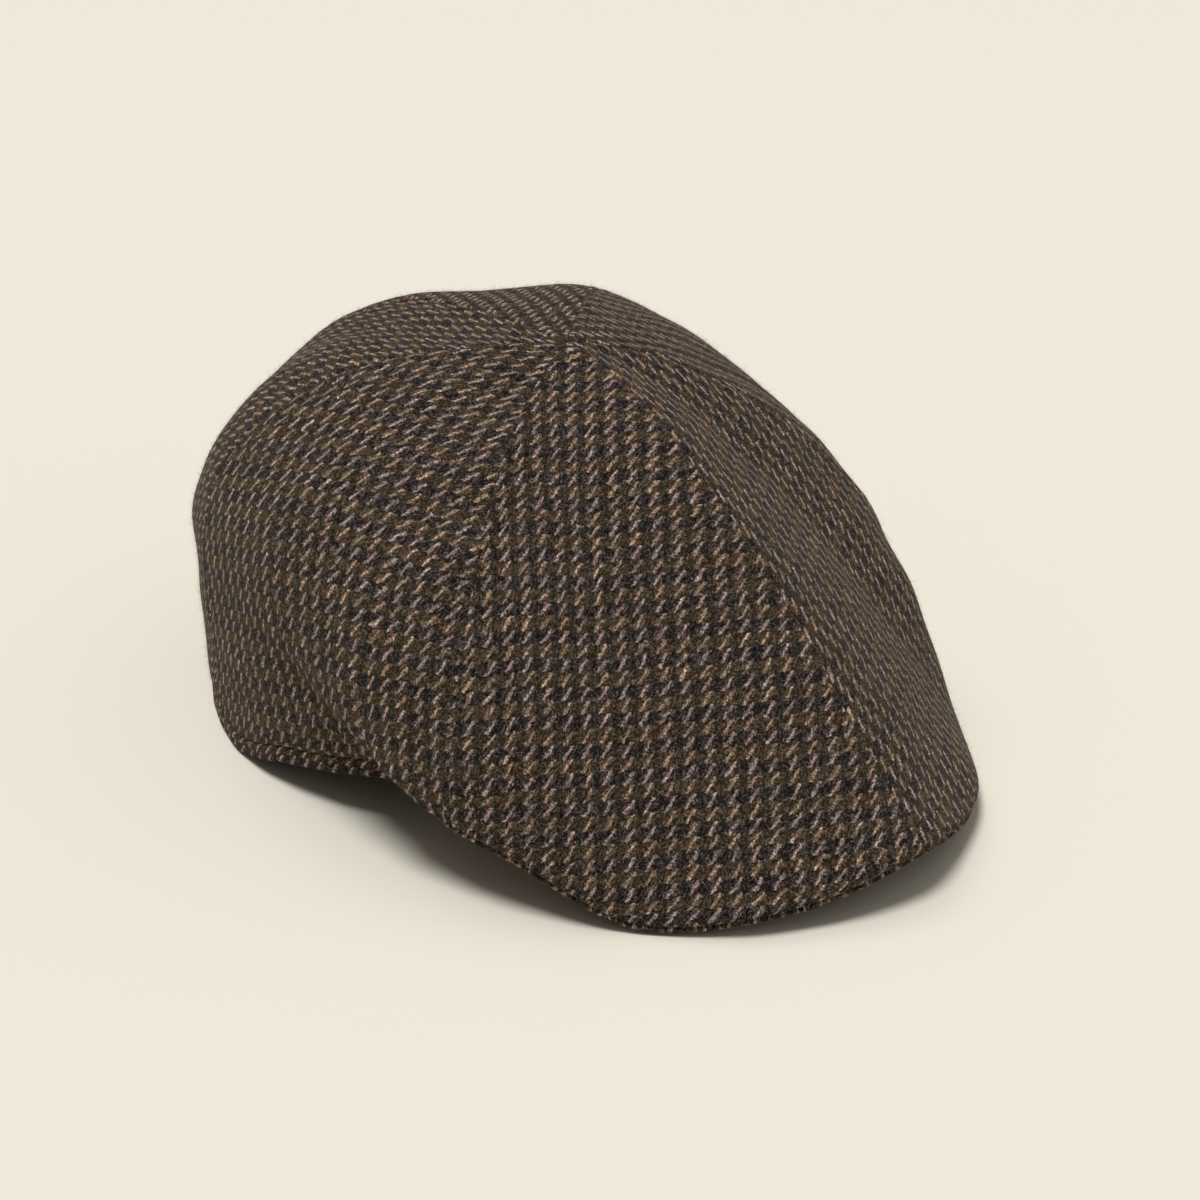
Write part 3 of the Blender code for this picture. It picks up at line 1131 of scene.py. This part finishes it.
@dataclass
class Peak:
    """The stiff peak in its cloth cover, with a rounded edge."""

    form: CapForm
    columns: int = 220
    top_rows: int = 14
    nose_rows: int = 8
    reach: float = 89.0
    material_tone: float = 0.92

    def section(self, angle: Array) -> tuple[Array, Array]:
        """Points round the peak's section at each angle, and their flat coordinates.

        Args:
            angle: angles along the peak.

        Returns:
            Section points and flat coordinates, section by angle.
        """
        form = self.form
        thick = form.peak_thickness
        rim, inward = form.peak_rim(angle), form.inward(angle)
        shares = np.linspace(1.0, 0.0, self.top_rows + 1)
        top = [form.peak_top(angle, np.full_like(angle, share)) for share in shares]
        nose_centre = rim + inward * thick / 2 - np.array([0, 0, thick / 2])
        turns = np.linspace(math.pi / 2, -math.pi / 2, self.nose_rows + 1)
        nose = [nose_centre - inward * (math.cos(a) * thick / 2)
                + np.array([0, 0, math.sin(a) * thick / 2]) for a in turns]
        under = [point - np.array([0, 0, thick]) for point in reversed(top)]
        points = np.stack(top + nose + under)
        outward = np.zeros(len(points))
        first, last = len(top), len(top) + len(nose)
        outward[first:last] = (turns + math.pi / 2) * thick / 2
        outward[:first] = math.pi * thick / 2
        flat = points[..., :2] - inward[None, :, :2] * outward[:, None, None]
        flat[:first] = flat[first] + (points[:first] - points[first])[..., :2]
        return points, flat * np.array([1.0, -1.0])

    def build(self, dresser: Dresser) -> bpy.types.Object:
        """Make the peak as one closed piece.

        Args:
            dresser: makes the material.

        Returns:
            The piece.
        """
        angle = np.linspace(-self.reach, self.reach, self.columns + 1)
        points, flat = self.section(angle)
        closed = np.concatenate([points, points[:1]])
        cover = grid_sheet(closed, np.concatenate([flat, flat[:1]]),
                           {SEAM_NAME: np.full(closed.shape[:2], FAR_FROM_SEAM)})
        bmesh.ops.remove_doubles(cover, verts=cover.verts, dist=MERGE_DISTANCE)
        bmesh.ops.holes_fill(cover, edges=cover.edges, sides=0)
        bmesh.ops.recalc_face_normals(cover, faces=cover.faces)
        piece = finish_mesh("peak_cover", cover, dresser.tweed("peak_tweed", self.material_tone))
        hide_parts("peak")
        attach(piece, BODY)
        REPORT.info("%s: stiff peak in its cloth cover", piece.name)
        return piece


@dataclass
class HemBand:
    """The turned cloth edge round the head opening."""

    form: CapForm
    columns: int = 360
    corner_points: int = 5
    corner_radius: float = 0.0011
    wander: float = 0.00016
    wander_waves: Rows = ((23, 0.4), (37, 0.0), (11, 2.0))
    belly: float = 0.0003
    material_tone: float = 0.95

    def section(self) -> Array:
        """Rounded section of the band, as outward and upward distances.

        Returns:
            The section's points, closed.
        """
        form, r = self.form, self.corner_radius
        top, inner = form.band_height - r, r - form.band_thickness
        corners = ((-r, r, -90), (-r, top, 0), (inner, top, 90), (inner, r, 180))
        line = []
        for x, z, start in corners:
            for turn in np.radians(np.linspace(start, start + 90, self.corner_points)):
                line.append((x + r * math.cos(turn), z + r * math.sin(turn)))
        return np.array(line + line[:1])

    def build(self, dresser: Dresser) -> bpy.types.Object:
        """Make the band as one closed ring.

        Args:
            dresser: makes the material.

        Returns:
            The piece.
        """
        section = self.section()
        turn = np.linspace(-180.0, 180.0, self.columns + 1)
        wave = np.radians(turn)
        waves = sum(np.sin(rate * wave + phase) for rate, phase in self.wander_waves)
        push = self.wander * waves / 2
        points = []
        for outward, height in section:
            swell = self.belly * math.sin(math.pi * height / self.form.band_height)
            outer = outward > -self.form.band_thickness / 2
            ring = self.form.hem_point(turn, outward + (swell if outer else 0.0) + push)
            ring[:, 2] += height
            points.append(ring)
        table = np.stack(points)
        flat = np.stack([lengths_along(table, 1), -lengths_along(table, 0)], -1)
        band = grid_sheet(table, flat, {SEAM_NAME: np.full(table.shape[:2], FAR_FROM_SEAM)})
        bmesh.ops.remove_doubles(band, verts=band.verts, dist=MERGE_DISTANCE)
        bmesh.ops.recalc_face_normals(band, faces=band.faces)
        piece = finish_mesh("hem_band_cloth", band, dresser.tweed("hem_tweed", self.material_tone))
        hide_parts("hem_band")
        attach(piece, BODY)
        REPORT.info("%s: band %.1f mm high", piece.name, self.form.band_height * 1000)
        return piece


@dataclass
class Nap:
    """Loose wool fibres that stand off a gore's face."""

    gore: Gore
    count: int = 22000
    shortest: float = 0.0006
    longest: float = 0.0024
    short_bias: float = 2.2
    width: float = 0.000055
    taper: float = 0.75
    lift: float = 0.55
    lift_spread: tuple[float, float] = (0.25, 1.6)
    droop: float = 0.35
    curl: float = 0.35
    seed: int = 1

    def roots(self, rng: np.random.Generator) -> tuple[Array, Array, Array]:
        """Pick where the fibres stand, evenly by area.

        Args:
            rng: seeded source of chance.

        Returns:
            Root points, normals and one level direction for each fibre.
        """
        points, normals = self.gore.points, self.gore.normals
        across = points[:-1, 1:] - points[:-1, :-1]
        down = points[1:, :-1] - points[:-1, :-1]
        area = np.linalg.norm(np.cross(across, down), axis=-1)
        picked = rng.choice(area.size, self.count, p=(area / area.sum()).ravel())
        row, column = np.unravel_index(picked, area.shape)
        s, t = rng.random(self.count)[:, None], rng.random(self.count)[:, None]
        place = points[row, column] + across[row, column] * s + down[row, column] * t
        return place, normals[row, column], unit(across[row, column])

    def build(self, material: bpy.types.Material) -> bpy.types.Object:
        """Make all of the gore's fibres as thin tapered ribbons in one mesh.

        Args:
            material: what they are made of.

        Returns:
            The piece.
        """
        rng = np.random.default_rng(self.seed)
        place, normal, level = self.roots(rng)
        across = np.cross(normal, level)
        turn = rng.uniform(0, 2 * math.pi, self.count)[:, None]
        lean = level * np.cos(turn) + across * np.sin(turn)
        side = -level * np.sin(turn) + across * np.cos(turn)
        spread = self.longest - self.shortest
        length = self.shortest + spread * rng.random(self.count)[:, None] ** self.short_bias
        lift = self.lift * rng.uniform(*self.lift_spread, self.count)[:, None]
        curl = rng.normal(0, self.curl, (self.count, 3))
        ribbons = bmesh.new()
        columns = 2 * self.count - 1
        bmesh.ops.create_grid(ribbons, x_segments=columns, y_segments=2, size=1.0)
        between = [face for face in ribbons.faces
                   if int((face.calc_center_median().x + 1) / 2 * columns) % 2]
        bmesh.ops.delete(ribbons, geom=between, context="FACES")
        for vert in ribbons.verts:
            column = round((vert.co.x + 1) / 2 * columns)
            stage = round(vert.co.y + 1) / 2
            i = column // 2
            half = (column % 2 - 0.5) * self.width * (1 - self.taper * stage)
            rise = stage - self.droop * stage * stage
            way = lean[i] * stage + normal[i] * lift[i] * rise + curl[i] * stage * stage
            vert.co = place[i] + way * length[i] + side[i] * half
        piece = finish_mesh(f"{self.gore.name}_nap", ribbons, material)
        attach(piece, BODY)
        return piece


@dataclass
class Cap:
    """The whole cap."""

    form: CapForm = field(default_factory=CapForm)
    dresser: Dresser = field(default_factory=Dresser)
    front_seam: float = 73.5
    back_seam: float = 122.0
    front_grain: tuple[float, float] = (3.0, 11.0)
    side_grain: tuple[float, float] = (-16.0, -16.0)
    back_grain: tuple[float, float] = (0.0, 0.0)

    def build(self) -> None:
        """Build every piece, and report the loose fibres, the peak and the band."""
        loose = self.dresser.nap()
        front, back = self.front_seam, self.back_seam
        spans = (("front_gore", 0.0, front, self.front_grain, ["peak"]),
                 ("side_gore", front, back, self.side_grain, ["peak", "hem_band"]),
                 ("back_gore", back, 180.0, self.back_grain, ["hem_band"]))
        seed = 0
        for hand in Hand:
            for label, start, end, grain, rests_on in spans:
                name = f"{hand.name.lower()}_{label}"
                gore = Gore(self.form, name, hand, start, end, grain=grain)
                piece = gore.build(self.dresser)
                seed += 1
                nap = Nap(gore, seed=seed).build(loose)
                REPORT.info("%s: loose fibres", nap.name)
        Peak(self.form).build(self.dresser)
        HemBand(self.form).build(self.dresser)


@dataclass(frozen=True)
class SoftSun:
    """One distant soft light: where it comes from, its strength and its width in degrees."""

    name: str
    azimuth: float
    elevation: float
    strength: float
    softness: float


@dataclass(frozen=True)
class Studio:
    """Camera, floor and soft light, as in the photograph."""

    azimuth: float = -43.69
    elevation: float = 26.35
    distance: float = 0.7217
    target: Triple = (0.0, 0.0, 0.050)
    lens: float = 72.77
    sensor: float = 36.0
    shift: tuple[float, float] = (0.01196, -0.01987)
    clip: tuple[float, float] = (0.01, 50.0)
    lights: tuple[SoftSun, ...] = (
        SoftSun("overhead_light", -100.0, 76.0, 2.30, 20.0),
        SoftSun("fill_light", 30.0, 50.0, 0.40, 90.0),
        SoftSun("light_from_behind", 180.0, 60.0, 0.60, 40.0),
    )
    light_colour: Triple = (1.0, 0.995, 0.985)
    sky_colour: Triple = (1.0, 0.90, 0.81)
    sky_strength: float = 0.20
    floor_half: float = 6.0

    def direction(self, azimuth: float, elevation: float) -> Vector:
        """Unit direction from the target towards a place round it."""
        a, e = math.radians(azimuth), math.radians(elevation)
        return Vector((math.sin(a) * math.cos(e), -math.cos(a) * math.cos(e), math.sin(e)))

    def build(self, dresser: Dresser) -> None:
        """Set up the camera, the lights and the floor.

        Args:
            dresser: makes the floor's material.
        """
        scene = bpy.context.scene
        back = self.direction(self.azimuth, self.elevation)
        camera = bpy.data.objects.new("camera", bpy.data.cameras.new("camera"))
        camera.data.lens = self.lens
        camera.data.sensor_width = self.sensor
        camera.data.shift_x, camera.data.shift_y = self.shift
        camera.data.clip_start, camera.data.clip_end = self.clip
        camera.location = Vector(self.target) + back * self.distance
        camera.rotation_euler = (-back).to_track_quat("-Z", "Y").to_euler()
        scene.collection.objects.link(camera)
        scene.camera = camera
        for light in self.lights:
            sun = bpy.data.objects.new(light.name, bpy.data.lights.new(light.name, "SUN"))
            sun.data.energy = light.strength
            sun.data.angle = math.radians(light.softness)
            sun.data.color = self.light_colour
            towards = self.direction(light.azimuth, light.elevation)
            sun.rotation_euler = (-towards).to_track_quat("-Z", "Y").to_euler()
            scene.collection.objects.link(sun)
        world = bpy.data.worlds.new("studio")
        world.use_nodes = True
        NodeBench(world.node_tree).feed(
            world.node_tree.nodes["Background"],
            {"Color": opaque(self.sky_colour), "Strength": self.sky_strength})
        scene.world = world
        plane = bmesh.new()
        bmesh.ops.create_grid(plane, x_segments=1, y_segments=1, size=self.floor_half)
        finish_mesh("floor", plane, dresser.floor())
        scene.view_settings.view_transform = "Standard"


def main() -> None:
    """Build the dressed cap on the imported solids."""
    logging.basicConfig(level=logging.INFO, format="%(name)s: %(message)s")
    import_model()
    cap = Cap()
    cap.build()
    Studio().build(cap.dresser)


if __name__ == "__main__":
    main()
